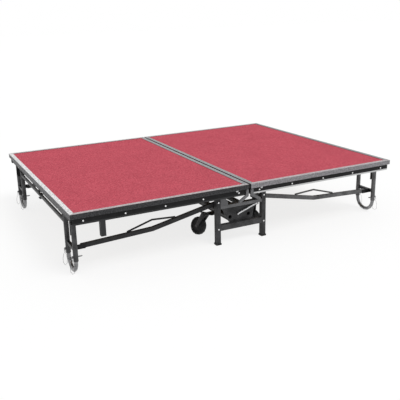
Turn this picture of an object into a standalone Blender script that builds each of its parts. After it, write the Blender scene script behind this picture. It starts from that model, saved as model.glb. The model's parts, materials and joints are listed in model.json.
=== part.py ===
"""Folding mobile stage with a carpeted deck in two halves, after a photograph.

The stage stands open. X runs along the deck, -Y is the near long side and Z is up,
with the origin on the floor under the middle of the deck. All sizes are in metres.
"Left" is -X, "right" is +X, "near" is -Y and "far" is +Y.
"""
import math

import bmesh
import bpy
from mathutils import Matrix, Vector

# Deck
DECK_LENGTH = 2.438
DECK_WIDTH = 1.829
DECK_TOP = 0.433
FOLD_GAP = 0.014
SEAT = 0.0003
WELD_DEPTH = 0.001

# Edge trim, an L-shaped extrusion with grooves along its outer face
TRIM_HEIGHT = 0.031
TRIM_FLANGE = 0.030
TRIM_WALL = 0.002
GROOVE_DEPTH = 0.0008
GROOVE_WIDTH = 0.002
GROOVE_COUNT = 3

# Layers under the trim's flange
CARPET_THICKNESS = 0.005
BOARD_THICKNESS = 0.015

# Steel frame under each deck half
RAIL_HEIGHT = 0.051
END_RAIL_HEIGHT = 0.039
RAIL_WIDTH = 0.038
RAIL_INSET = 0.012
RAIL_WALL = 0.002
JOIST_WIDTH = 0.030
JOIST_WALL = 0.002
FOLD_JOIST_HEIGHT = 0.015
MAIN_JOIST_HEIGHT = 0.026
MAIN_JOIST_STATIONS = (0.50, 0.84)
FOLD_JOIST_CLEARANCE = 0.004

# Trim screws on the long sides and on the ends
SCREW_FIRST = 0.08
SCREW_END_INSET = 0.067
SCREW_COUNT = 5
SCREW_HEAD_RADIUS = 0.0055
SCREW_HEAD_HEIGHT = 0.0025
SCREW_BELOW_RAIL_TOP = 0.028
END_SCREW_STATIONS = (-0.6, -0.2, 0.2, 0.6)

# Deck pivot, on which each half folds up
DECK_PIVOT_X = 0.095
DECK_PIVOT_Z = 0.400
PIVOT_BOLT_RADIUS = 0.006
BOLT_HEAD_RADIUS = 0.010
BOLT_HEAD_HEIGHT = 0.005
HOLE_CLEARANCE = 0.0003
PIVOT_ARM_THICKNESS = 0.008
PIVOT_ARM_HALF_WIDTH = 0.0097
PIVOT_ARM_GAP_TO_RAIL = 0.0045
PIVOT_ARM_RISE = 0.030
PIVOT_ARM_BELOW_JOIST = 0.0025

# Fold arms on the outside of the side rails, beside the fold
FOLD_ARM_TOP = (0.0185, 0.392)
FOLD_ARM_KNEE = (0.019, 0.357)
FOLD_ARM_END = (0.075, 0.322)
FOLD_ARM_HALF_WIDTH = 0.010
FOLD_ARM_THICKNESS = 0.008
FOLD_ARM_BOLT_RADIUS = 0.007

# Centre frame: two legs, two crossbars and their feet on each long side
CENTER_LEG_X = 0.18
CENTER_LEG_INSET = 0.1245
CENTER_TUBE = 0.032
CENTER_WALL = 0.002
LOWER_BAR_BOTTOM = 0.100
LOWER_BAR_HEIGHT = 0.040
UPPER_BAR_BOTTOM = 0.255
UPPER_BAR_HEIGHT = 0.022
FOOT_WALL = 0.003
FOOT_HEIGHT = 0.012
PAD_HEIGHT = 0.006
TIE_WIDTH = 0.034
VENT_RADIUS = 0.003
VENT_DEPTH = 0.008
FRAME_SCREW_HEIGHTS = (0.113, 0.303)
BRACE_RADIUS = 0.007
BRACE_BOLT_RADIUS = 0.006
BRACE_TOP_X = 0.128
BRACE_FOOT_X = -0.022
BRACE_DROP = 0.052
GUSSET_INNER_X = 0.106
GUSSET_TOP_X = 0.142
GUSSET_SIDE_Z = 0.300
GUSSET_TOP_Z = 0.350
GUSSET_THICKNESS = 0.004

# Pivot plates inside the centre frame
PLATE_THICKNESS = 0.006
PLATE_FOOT_X = 0.060
PLATE_WAIST_X = 0.098
PLATE_OUTER_X = 0.140
PLATE_BOTTOM = 0.112
PLATE_WAIST_Z = 0.165
PLATE_EAR_RADIUS = 0.012

# Fold links, a bent bar with a truss rod on top
LINK_PIVOT_X = 0.118
LINK_PIVOT_Z = 0.298
LINK_KINK_X = 0.645
LINK_KINK_Z = 0.192
LINK_END_INSET = 0.061
LINK_END_Z = 0.171
LINK_HEIGHT = 0.028
LINK_WIDTH = 0.020
LINK_WALL = 0.002
LINK_PAST_PIVOT = 0.012
LINK_SIDE_GAP = 0.0017
TRUSS_RADIUS = 0.006
TRUSS_START_X = 0.48
TRUSS_PEAK = (0.645, 0.254)
TRUSS_END_X = 0.82
LINK_BOLT_RADIUS = 0.005

# End legs
LEG_INSET_X = 0.043
LEG_INSET_Y = 0.1095
LEG_SPACING = 0.165
LEG_RADIUS = 0.016
LEG_WALL = 0.0025
LEG_ABOVE_BEND = 0.001
LEG_PIVOT_Z = 0.345
LEG_ABOVE_PIVOT = 0.010
SHAFT_RADIUS = 0.008
SHAFT_HEAD = 0.004
CROSS_TUBE_RADIUS = 0.0125
CROSS_TUBE_WALL = 0.002
CROSS_TUBE_Z = 0.300
CROSS_CLAMP_LENGTH = 0.040
CROSS_CLAMP_SIDE = 0.034
LUG_THICKNESS = 0.006
LUG_HEIGHT = 0.030
LUG_PAST_BOLT = 0.015
TIE_BAR_SIDE = 0.020
HANGER_THICKNESS = 0.005
HANGER_WIDTH = 0.034
OUTER_HANGER_BOTTOM = 0.262
INNER_HANGER_BOTTOM = 0.329

# Leg extensions, which slide out of each pair of leg tubes
EXTENSION_CLEARANCE = 0.0008
EXTENSION_WALL = 0.003
EXTENSION_TRAVEL = 0.2032
EXTENSION_TOP = 0.352
SLOT_WIDTH = 0.0105

# Detent pins, each with a split ring and a wire loop
PIN_RADIUS = 0.004
PIN_Z = 0.125
PIN_TIP_REACH = 0.042
PIN_HEAD_RADIUS = 0.0085
PIN_HEAD_LENGTH = 0.009
RING_RADIUS = 0.011
RING_WIRE = 0.0013
LOOP_LENGTH = 0.088
LOOP_WIDTH = 0.042
LOOP_WIRE = 0.0010
LOOP_LEAN = 0.05
LOOP_TURN = math.radians(40)

# Guard rail socket under one corner of each half
SOCKET_INSET = 0.200
SOCKET_SIDE = 0.032
SOCKET_WALL = 0.002
SOCKET_LENGTH = 0.098

# Casters, tucked up at a tilt while the stage is open
CASTER_TILT = math.radians(19)
CASTER_SWIVEL = math.radians(22)
CASTER_X = 0.192
CASTER_INSET = 0.150
CASTER_Z = 0.1807
CASTER_TRAIL = 0.030
CASTER_HEIGHT = 0.098
WHEEL_RADIUS = 0.0635
WHEEL_WIDTH = 0.032
WHEEL_HUB_RADIUS = 0.019
WHEEL_RIM_RADIUS = 0.044
AXLE_RADIUS = 0.005
FORK_PLATE = 0.004
FORK_SIDE_GAP = 0.0025
FORK_DEPTH = 0.040
CASTER_PLATE_SIDE = 0.074
CASTER_PLATE_THICKNESS = 0.006
CARRIAGE_PIVOT_X = 0.074
CARRIAGE_PIVOT_Z = 0.176
CARRIAGE_TUBE_RADIUS = 0.015
CARRIAGE_TUBE_WALL = 0.0025
CARRIAGE_ARM_WIDTH = 0.056
CARRIAGE_ARM_THICKNESS = 0.010

ROUND_SIDES = 16
ROD_SIDES = 12
WIRE_SIDES = 4
PIN_SIDES = 8
EXTENSION_SIDES = 12
EXTENSION_BENDS = 8
SHARP_ANGLE = math.radians(35)

# Heights and half sizes that follow from the sizes above
HALF_LENGTH = DECK_LENGTH / 2
HALF_WIDTH = DECK_WIDTH / 2
FOLD_X = FOLD_GAP / 2
TRIM_BOTTOM = DECK_TOP - TRIM_HEIGHT
CARPET_TOP = DECK_TOP - TRIM_WALL - SEAT
CARPET_BOTTOM = CARPET_TOP - CARPET_THICKNESS
BOARD_TOP = CARPET_BOTTOM - SEAT
BOARD_BOTTOM = BOARD_TOP - BOARD_THICKNESS
RAIL_TOP = BOARD_BOTTOM - SEAT
RAIL_BOTTOM = RAIL_TOP - RAIL_HEIGHT
END_RAIL_BOTTOM = RAIL_TOP - END_RAIL_HEIGHT
RAIL_OUTER_Y = HALF_WIDTH - RAIL_INSET
RAIL_INNER_Y = RAIL_OUTER_Y - RAIL_WIDTH
RAIL_OUTER_X = HALF_LENGTH - RAIL_INSET
RAIL_INNER_X = RAIL_OUTER_X - RAIL_WIDTH
RAIL_FOLD_X = FOLD_X + TRIM_WALL
SCREW_PITCH = (RAIL_OUTER_X - SCREW_END_INSET - SCREW_FIRST) / (SCREW_COUNT - 1)
CENTER_LEG_Y = HALF_WIDTH - CENTER_LEG_INSET
FRAME_INNER_Y = CENTER_LEG_Y - CENTER_TUBE / 2
FRAME_OUTER_Y = CENTER_LEG_Y + CENTER_TUBE / 2
LEG_PAD_TOP = RAIL_TOP - FOLD_JOIST_HEIGHT - SEAT
PLATE_OUTER_Y = FRAME_INNER_Y + WELD_DEPTH / 2
PLATE_INNER_Y = PLATE_OUTER_Y - PLATE_THICKNESS
LINK_OUTER_Y = PLATE_INNER_Y - LINK_SIDE_GAP
LINK_INNER_Y = LINK_OUTER_Y - LINK_WIDTH
LEG_X = HALF_LENGTH - LEG_INSET_X
LEG_OUTER_Y = HALF_WIDTH - LEG_INSET_Y
LEG_INNER_Y = LEG_OUTER_Y - LEG_SPACING
LINK_END_X = LEG_X - LINK_END_INSET
SOCKET_X = HALF_LENGTH - SOCKET_INSET
CASTER_Y = CENTER_LEG_Y - CASTER_INSET
EXTENSION_RADIUS = LEG_RADIUS - LEG_WALL - EXTENSION_CLEARANCE
LEG_TOP = LEG_PIVOT_Z + LEG_ABOVE_PIVOT
BEND_Y = (LEG_OUTER_Y + LEG_INNER_Y) / 2
BEND_RADIUS = LEG_SPACING / 2
BEND_Z = BEND_RADIUS + EXTENSION_RADIUS
LEG_BOTTOM = BEND_Z + LEG_ABOVE_BEND
LOWER_BAR_TOP = LOWER_BAR_BOTTOM + LOWER_BAR_HEIGHT
UPPER_BAR_TOP = UPPER_BAR_BOTTOM + UPPER_BAR_HEIGHT

LEFT, RIGHT = -1, 1
NEAR, FAR = -1, 1
SIDE_NAMES = {LEFT: "left", RIGHT: "right"}
FLANK_NAMES = {NEAR: "near", FAR: "far"}


def clear_scene():
    """Remove every object that is in the scene at the start."""
    for leftover in list(bpy.data.objects):
        bpy.data.objects.remove(leftover, do_unlink=True)


def material(name, color, roughness, metallic):
    """Make a plain Principled material."""
    made = bpy.data.materials.new(name)
    made.use_nodes = True
    shader = made.node_tree.nodes["Principled BSDF"]
    shader.inputs["Base Color"].default_value = (*color, 1.0)
    shader.inputs["Roughness"].default_value = roughness
    shader.inputs["Metallic"].default_value = metallic
    return made


# Meshes are built in world coordinates and moved to their body's origin at the end

def skin(bm, rings, closed=False):
    """Join rings of points into a surface: capped at both ends, or closed on itself."""
    verts = [[bm.verts.new(point) for point in ring] for ring in rings]
    count = len(rings[0])
    pairs = list(zip(verts, verts[1:]))
    if closed:
        pairs.append((verts[-1], verts[0]))
    for first, second in pairs:
        for i in range(count):
            j = (i + 1) % count
            bm.faces.new((first[i], first[j], second[j], second[i]))
    if not closed:
        bm.faces.new(verts[0][::-1])
        bm.faces.new(verts[-1])


def circle(center, across, up, radius, sides):
    """Points of a circle in the plane of two unit vectors."""
    center = Vector(center)
    points = []
    for i in range(sides):
        angle = 2 * math.pi * (i + 0.5) / sides
        points.append(center + radius * (math.cos(angle) * across + math.sin(angle) * up))
    return points


def cross_axes(direction):
    """Two unit vectors square to a direction and to each other."""
    direction = direction.normalized()
    helper = Vector((0, 0, 1)) if abs(direction.z) < 0.9 else Vector((1, 0, 0))
    across = direction.cross(helper).normalized()
    return across, across.cross(direction).normalized()


def add_rod(bm, start, end, radius, sides=ROD_SIDES):
    """Add a solid round bar between two points."""
    start, end = Vector(start), Vector(end)
    across, up = cross_axes(end - start)
    skin(bm, [circle(start, across, up, radius, sides), circle(end, across, up, radius, sides)])


def add_turned(bm, axis, profile, sides=ROD_SIDES):
    """Add a turned solid along X or Y; the profile is (center point, radius) pairs."""
    across, up = (Vector((0, 1, 0)) if axis == "X" else Vector((1, 0, 0))), Vector((0, 0, 1))
    skin(bm, [circle(center, across, up, radius, sides) for center, radius in profile])


def add_round_tube(bm, start, end, radius, wall, sides=ROUND_SIDES):
    """Add a round tube with open ends between two points."""
    start, end = Vector(start), Vector(end)
    across, up = cross_axes(end - start)
    rings = [circle(start, across, up, radius, sides), circle(end, across, up, radius, sides),
             circle(end, across, up, radius - wall, sides), circle(start, across, up, radius - wall, sides)]
    skin(bm, rings, closed=True)


def add_box(bm, low, high):
    """Add a box between two corners given in any order."""
    (x0, y0, z0), (x1, y1, z1) = low, high
    ring = [(x0, y0), (x1, y0), (x1, y1), (x0, y1)]
    skin(bm, [[Vector((x, y, z)) for x, y in ring] for z in (z0, z1)])


def add_square_tube(bm, axis, start, end, low, high, wall):
    """Add an open-ended tube along one axis; low and high are its corners on the other two axes."""
    def ring(at, inset):
        u0, u1 = low[0] + inset, high[0] - inset
        v0, v1 = low[1] + inset, high[1] - inset
        points = []
        for u, v in ((u0, v0), (u1, v0), (u1, v1), (u0, v1)):
            values = [u, v]
            values.insert("XYZ".index(axis), at)
            points.append(Vector(values))
        return points
    skin(bm, [ring(start, 0), ring(end, 0), ring(end, wall), ring(start, wall)], closed=True)


def add_plate(bm, outline, side, y0, y1):
    """Extrude an outline in the XZ plane from y0 to y1; side mirrors it to the left or right."""
    skin(bm, [[Vector((side * x, y, z)) for x, z in outline] for y in (y0, y1)])


def sweep_rings(points, normal, radius, sides, closed=False):
    """Circles along a flat path whose plane has the given normal."""
    points = [Vector(point) for point in points]
    normal = Vector(normal)
    rings = []
    last = len(points) - 1
    for i, point in enumerate(points):
        before = points[i - 1] if closed or i > 0 else point
        after = points[(i + 1) % len(points)] if closed or i < last else point
        across = (after - before).normalized().cross(normal)
        rings.append(circle(point, across, normal, radius, sides))
    return rings


def add_sweep(bm, points, normal, radius, sides, closed=False):
    """Sweep a solid round bar along a flat path."""
    skin(bm, sweep_rings(points, normal, radius, sides, closed), closed)


def add_channel(bm, side, low, high, reach, wall):
    """Add a C-shaped bar along Y, open towards the middle of the stage."""
    (x0, z0), (x1, z1) = low, high
    outline = [(x1, z0), (x1, z1), (x0, z1), (x0, z1 - wall), (x1 - wall, z1 - wall),
               (x1 - wall, z0 + wall), (x0, z0 + wall), (x0, z0)]
    add_plate(bm, outline, side, -reach, reach)


def add_vent(bm, x, y, bottom):
    """Add a cutter for the small drain hole under a hollow bar."""
    add_rod(bm, (x, y, bottom - VENT_DEPTH), (x, y, bottom + VENT_DEPTH), VENT_RADIUS, 8)


def round_bar(start, end, half_width, steps=6):
    """Outline of a flat bar with round ends between two points of a plane."""
    heading = math.atan2(end[1] - start[1], end[0] - start[0])
    outline = []
    for center, turn in ((end, heading - math.pi / 2), (start, heading + math.pi / 2)):
        for i in range(steps + 1):
            angle = turn + math.pi * i / steps
            outline.append((center[0] + half_width * math.cos(angle),
                            center[1] + half_width * math.sin(angle)))
    return outline


def bent_bar(points, half_width, steps=5):
    """Outline of a flat bar with round ends along a bent line of points in a plane."""
    def heading(a, b):
        return math.atan2(b[1] - a[1], b[0] - a[0])

    def offsets(path):
        found = []
        for i in range(1, len(path) - 1):
            first, second = heading(path[i - 1], path[i]), heading(path[i], path[i + 1])
            middle = (first + second) / 2
            reach = half_width / math.cos((second - first) / 2)
            found.append((path[i][0] + reach * math.cos(middle - math.pi / 2),
                          path[i][1] + reach * math.sin(middle - math.pi / 2)))
        return found

    def cap(center, turn):
        return [(center[0] + half_width * math.cos(turn + math.pi * i / steps),
                 center[1] + half_width * math.sin(turn + math.pi * i / steps))
                for i in range(steps + 1)]

    backward = points[::-1]
    outline = offsets(points)
    outline += cap(points[-1], heading(points[-2], points[-1]) - math.pi / 2)
    outline += offsets(backward)
    outline += cap(points[0], heading(backward[-2], backward[-1]) - math.pi / 2)
    return outline


class Body:
    """A group of pieces that moves as one, with an empty on its joint's axis."""

    def __init__(self, name, origin, parent=None):
        self.origin = Vector(origin)
        self.empty = bpy.data.objects.new(name + "_body", None)
        self.empty.empty_display_size = 0.05
        bpy.context.collection.objects.link(self.empty)
        if parent:
            self.empty.parent = parent.empty
            self.empty.location = self.origin - parent.origin
        else:
            self.empty.location = self.origin

    def add(self, name, bm, finish, smooth=False):
        """Turn a mesh in world coordinates into a piece of this body."""
        bmesh.ops.recalc_face_normals(bm, faces=bm.faces)
        bmesh.ops.translate(bm, verts=bm.verts, vec=-self.origin)
        mesh = bpy.data.meshes.new(name)
        bm.to_mesh(mesh)
        bm.free()
        if smooth:
            mesh.shade_smooth()
            mesh.set_sharp_from_angle(angle=SHARP_ANGLE)
        mesh.materials.append(finish)
        made = bpy.data.objects.new(name, mesh)
        made.parent = self.empty
        bpy.context.collection.objects.link(made)
        return made

    def combine(self, target, bm, operation):
        """Cut a mesh in world coordinates out of a piece of this body, or add it to the piece."""
        helper = self.add("%s_%s_helper" % (target.name, operation.lower()), bm, target.data.materials[0])
        helper.hide_render = True
        helper.display_type = "WIRE"
        step = target.modifiers.new(operation.lower(), "BOOLEAN")
        step.operation = operation
        step.solver = "EXACT"
        step.use_self = True
        step.object = helper

    def weld(self, target, bm):
        """Add the solids of a mesh to a piece, as welding does."""
        self.combine(target, bm, "UNION")

    def cut(self, target, bm):
        """Cut the solids of a mesh out of a piece, as drilling does."""
        self.combine(target, bm, "DIFFERENCE")


clear_scene()
carpet_red = material("carpet_red", (0.52, 0.075, 0.10), 0.95, 0.0)
plywood = material("plywood", (0.50, 0.36, 0.21), 0.8, 0.0)
aluminium = material("aluminium", (0.55, 0.56, 0.57), 0.35, 1.0)
black_steel = material("black_steel", (0.03, 0.03, 0.033), 0.45, 0.3)
grey_steel = material("grey_steel", (0.16, 0.16, 0.165), 0.45, 0.4)
zinc = material("zinc", (0.62, 0.62, 0.62), 0.3, 1.0)
black_plastic = material("black_plastic", (0.02, 0.02, 0.02), 0.6, 0.0)
tyre_rubber = material("tyre_rubber", (0.025, 0.025, 0.025), 0.8, 0.0)


# Centre frame, which stands on the floor and carries both halves

def plate_outline():
    """Outline of a pivot plate, with an ear for each fold link."""
    half = [(PLATE_FOOT_X, PLATE_BOTTOM), (PLATE_WAIST_X, PLATE_WAIST_Z), (PLATE_OUTER_X, UPPER_BAR_BOTTOM),
            (PLATE_OUTER_X, UPPER_BAR_TOP)]
    for i in range(7):
        angle = math.pi * i / 6
        half.append((LINK_PIVOT_X + PLATE_EAR_RADIUS * math.cos(angle),
                     LINK_PIVOT_Z + PLATE_EAR_RADIUS * math.sin(angle)))
    half.append((LINK_PIVOT_X - PLATE_EAR_RADIUS, UPPER_BAR_TOP))
    return half + [(-x, z) for x, z in reversed(half)]


def add_pivot_arms(welded, holes, flank):
    """Add the brackets that reach from the centre legs to the deck pivots, hidden behind the side rail."""
    outer = RAIL_INNER_Y - PIVOT_ARM_GAP_TO_RAIL
    inner = outer - PIVOT_ARM_THICKNESS
    half = CENTER_TUBE / 2 - WELD_DEPTH
    top = LEG_PAD_TOP - PIVOT_ARM_BELOW_JOIST
    bottom = top - PIVOT_ARM_RISE
    outline = [(CENTER_LEG_X + half, bottom), (CENTER_LEG_X + half, top),
               (DECK_PIVOT_X + 2 * PIVOT_ARM_HALF_WIDTH, top)]
    for i in range(9):
        angle = math.pi / 4 + math.pi * i / 8
        outline.append((DECK_PIVOT_X + PIVOT_ARM_HALF_WIDTH * math.cos(angle),
                        DECK_PIVOT_Z + PIVOT_ARM_HALF_WIDTH * math.sin(angle)))
    for side in (LEFT, RIGHT):
        add_plate(welded, outline, side, flank * inner, flank * outer)
        low = (side * (CENTER_LEG_X - half), flank * (FRAME_OUTER_Y - WELD_DEPTH), bottom + WELD_DEPTH)
        high = (side * (CENTER_LEG_X + half - WELD_DEPTH), flank * (inner + WELD_DEPTH), top - WELD_DEPTH)
        add_box(welded, low, high)
        add_rod(holes, (side * DECK_PIVOT_X, flank * (inner - BOLT_HEAD_HEIGHT), DECK_PIVOT_Z),
                (side * DECK_PIVOT_X, flank * (outer + BOLT_HEAD_HEIGHT), DECK_PIVOT_Z),
                PIVOT_BOLT_RADIUS + HOLE_CLEARANCE)


def make_center_frame(center):
    """The welded frame: four square legs, lower crossbars, ties and pivot plates."""
    half = CENTER_TUBE / 2
    tie = TIE_WIDTH / 2
    legs = bmesh.new()
    welded = bmesh.new()
    holes = bmesh.new()
    plate_middle = (PLATE_INNER_Y + PLATE_OUTER_Y) / 2
    for flank in (NEAR, FAR):
        inner, outer = sorted((flank * FRAME_INNER_Y, flank * FRAME_OUTER_Y))
        for x in (-CENTER_LEG_X, CENTER_LEG_X):
            add_square_tube(legs, "Z", FOOT_HEIGHT / 2, LEG_PAD_TOP - PAD_HEIGHT + WELD_DEPTH,
                            (x - half, inner), (x + half, outer), CENTER_WALL)
            pad = half + WELD_DEPTH
            add_box(welded, (x - pad, flank * CENTER_LEG_Y - pad, LEG_PAD_TOP - PAD_HEIGHT),
                    (x + pad, flank * CENTER_LEG_Y + pad, LEG_PAD_TOP - SEAT))
            for z in FRAME_SCREW_HEIGHTS:
                add_rod(welded, (x, flank * (FRAME_OUTER_Y - WELD_DEPTH), z),
                        (x, flank * (FRAME_OUTER_Y + SCREW_HEAD_HEIGHT), z), SCREW_HEAD_RADIUS, 8)
        reach = CENTER_LEG_X - half + WELD_DEPTH
        add_square_tube(welded, "X", -reach, reach, (inner, LOWER_BAR_BOTTOM), (outer, LOWER_BAR_TOP),
                        CENTER_WALL)
        add_vent(holes, 0, flank * CENTER_LEG_Y, LOWER_BAR_BOTTOM)
        add_plate(welded, plate_outline(), 1, flank * PLATE_INNER_Y, flank * PLATE_OUTER_Y)
        add_pivot_arms(welded, holes, flank)
        for side in (LEFT, RIGHT):
            for x, z, radius in ((LINK_PIVOT_X, LINK_PIVOT_Z, LINK_BOLT_RADIUS),
                                 (CARRIAGE_PIVOT_X, CARRIAGE_PIVOT_Z, CARRIAGE_TUBE_RADIUS)):
                add_rod(holes, (side * x, flank * (PLATE_INNER_Y - PLATE_THICKNESS), z),
                        (side * x, flank * (PLATE_OUTER_Y + PLATE_THICKNESS), z), radius + HOLE_CLEARANCE, 16)
    for bottom, top, reach in ((LOWER_BAR_BOTTOM, LOWER_BAR_TOP, FRAME_INNER_Y + WELD_DEPTH),
                               (UPPER_BAR_BOTTOM, UPPER_BAR_TOP, plate_middle)):
        add_square_tube(welded, "Y", -reach, reach, (-tie, bottom + WELD_DEPTH), (tie, top - WELD_DEPTH),
                        CENTER_WALL)
        add_vent(holes, 0, 0, bottom + WELD_DEPTH)
    frame = center.add("center_frame", legs, black_steel)
    center.weld(frame, welded)
    center.cut(frame, holes)


def make_upper_crossbar(center, flank):
    """An upper crossbar with a gusset at one end."""
    reach = CENTER_LEG_X - CENTER_TUBE / 2 - SEAT
    inner, outer = sorted((flank * (PLATE_OUTER_Y + SEAT), flank * FRAME_OUTER_Y))
    bar = bmesh.new()
    add_square_tube(bar, "X", -reach, reach, (inner, UPPER_BAR_BOTTOM), (outer, UPPER_BAR_TOP), CENTER_WALL)
    gusset = bmesh.new()
    foot = UPPER_BAR_TOP - WELD_DEPTH
    outline = [(GUSSET_INNER_X, foot), (reach, foot), (reach, GUSSET_TOP_Z), (GUSSET_TOP_X, GUSSET_TOP_Z),
               (GUSSET_INNER_X, GUSSET_SIDE_Z)]
    face = FRAME_OUTER_Y - WELD_DEPTH
    add_plate(gusset, outline, flank, flank * (face - GUSSET_THICKNESS), flank * face)
    made = center.add(FLANK_NAMES[flank] + "_upper_crossbar", bar, grey_steel, smooth=True)
    center.weld(made, gusset)


def make_foot(center, side, flank):
    """A plastic foot round the bottom of one centre leg."""
    x, y = side * CENTER_LEG_X, flank * CENTER_LEG_Y
    bore = CENTER_TUBE / 2 + SEAT
    half = bore + FOOT_WALL
    bm = bmesh.new()
    socket = bmesh.new()
    add_box(bm, (x - half, y - half, 0), (x + half, y + half, FOOT_HEIGHT))
    add_box(socket, (x - bore, y - bore, FOOT_HEIGHT / 2 - SEAT), (x + bore, y + bore, FOOT_HEIGHT * 2))
    foot = center.add("%s_%s_foot" % (SIDE_NAMES[side], FLANK_NAMES[flank]), bm, black_plastic)
    center.cut(foot, socket)


def make_brace_rod(center, flank):
    """The bright diagonal strut of one long side, bolted to the pivot plate at both ends."""
    top_z = UPPER_BAR_BOTTOM - BRACE_RADIUS - 2 * WELD_DEPTH
    ends = [(-flank * BRACE_TOP_X, top_z), (-flank * BRACE_FOOT_X, top_z - BRACE_DROP)]
    rod = bmesh.new()
    add_rod(rod, *[(x, flank * CENTER_LEG_Y, z) for x, z in ends], BRACE_RADIUS)
    bolts = bmesh.new()
    for x, z in ends:
        add_rod(bolts, (x, flank * (PLATE_OUTER_Y + SEAT), z),
                (x, flank * (CENTER_LEG_Y + BRACE_RADIUS + WELD_DEPTH), z), BRACE_BOLT_RADIUS, 10)
    made = center.add(FLANK_NAMES[flank] + "_brace_rod", rod, zinc, smooth=True)
    center.weld(made, bolts)


# Deck halves

def trim_profile():
    """Outline of the trim as (distance in from the outer face, height) points."""
    profile = [(0, TRIM_BOTTOM)]
    pitch = TRIM_HEIGHT / (GROOVE_COUNT + 1)
    for i in range(GROOVE_COUNT):
        middle = TRIM_BOTTOM + (i + 1) * pitch
        for inset, z in ((0, -0.5), (GROOVE_DEPTH, -0.35), (GROOVE_DEPTH, 0.35), (0, 0.5)):
            profile.append((inset, middle + z * GROOVE_WIDTH))
    profile += [(0, DECK_TOP), (TRIM_FLANGE, DECK_TOP), (TRIM_FLANGE, DECK_TOP - TRIM_WALL),
                (TRIM_WALL, DECK_TOP - TRIM_WALL), (TRIM_WALL, TRIM_BOTTOM)]
    return profile


def make_trims(deck, side):
    """Mitred extrusions round the edge of one half."""
    name = SIDE_NAMES[side]
    profile = trim_profile()
    for flank in (NEAR, FAR):
        bm = bmesh.new()
        rings = []
        for at, inward in ((FOLD_X, 1), (HALF_LENGTH, -1)):
            rings.append([Vector((side * (at + inward * (inset + SEAT)), flank * (HALF_WIDTH - inset), z))
                          for inset, z in profile])
        skin(bm, rings)
        deck.add("%s_%s_side_trim" % (name, FLANK_NAMES[flank]), bm, aluminium)
    for part, at, inward in (("_end_trim", HALF_LENGTH, -1), ("_fold_trim", FOLD_X, 1)):
        bm = bmesh.new()
        rings = []
        for flank in (NEAR, FAR):
            rings.append([Vector((side * (at + inward * inset), flank * (HALF_WIDTH - inset - SEAT), z))
                          for inset, z in profile])
        skin(bm, rings)
        deck.add(name + part, bm, aluminium)


def make_layers(deck, side):
    """The deck board and the carpet on it, under the trim's flanges."""
    name = SIDE_NAMES[side]
    edge = TRIM_WALL + SEAT
    for part, bottom, top, finish in (("_deck_board", BOARD_BOTTOM, BOARD_TOP, plywood),
                                      ("_carpet", CARPET_BOTTOM, CARPET_TOP, carpet_red)):
        bm = bmesh.new()
        add_box(bm, (side * (FOLD_X + edge), -HALF_WIDTH + edge, bottom),
                (side * (HALF_LENGTH - edge), HALF_WIDTH - edge, top))
        deck.add(name + part, bm, finish)


def add_screw_heads(bm, side):
    """Add the screw heads along the outer faces of one half's frame."""
    z = RAIL_TOP - SCREW_BELOW_RAIL_TOP
    for flank in (NEAR, FAR):
        for i in range(SCREW_COUNT):
            x = side * (SCREW_FIRST + i * SCREW_PITCH)
            add_rod(bm, (x, flank * (RAIL_OUTER_Y - WELD_DEPTH), z),
                    (x, flank * (RAIL_OUTER_Y + SCREW_HEAD_HEIGHT), z), SCREW_HEAD_RADIUS, 8)
    for y in END_SCREW_STATIONS:
        add_rod(bm, (side * (RAIL_OUTER_X - WELD_DEPTH), y, z),
                (side * (RAIL_OUTER_X + SCREW_HEAD_HEIGHT), y, z), SCREW_HEAD_RADIUS, 8)


def add_hangers(welded, holes, side):
    """Add the plates under the end rail that carry the leg shaft, with their bolt heads and bores."""
    low, high = side * (LEG_X - HANGER_WIDTH / 2), side * (LEG_X + HANGER_WIDTH / 2)
    outer_y = LEG_OUTER_Y - LEG_RADIUS - 2 * SEAT - HANGER_THICKNESS
    inner_y = LEG_INNER_Y - LEG_RADIUS - 2 * SEAT - HANGER_THICKNESS
    top = END_RAIL_BOTTOM + WELD_DEPTH
    for flank in (NEAR, FAR):
        for y, bottom in ((outer_y, OUTER_HANGER_BOTTOM), (inner_y, INNER_HANGER_BOTTOM)):
            add_box(welded, (low, flank * y, bottom), (high, flank * (y + HANGER_THICKNESS), top))
    add_box(welded, (low, -HANGER_THICKNESS / 2, INNER_HANGER_BOTTOM), (high, HANGER_THICKNESS / 2, top))
    reach = outer_y + 2 * HANGER_THICKNESS
    add_rod(holes, (side * LEG_X, -reach, LEG_PIVOT_Z), (side * LEG_X, reach, LEG_PIVOT_Z),
            SHAFT_RADIUS + HOLE_CLEARANCE, 16)


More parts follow.
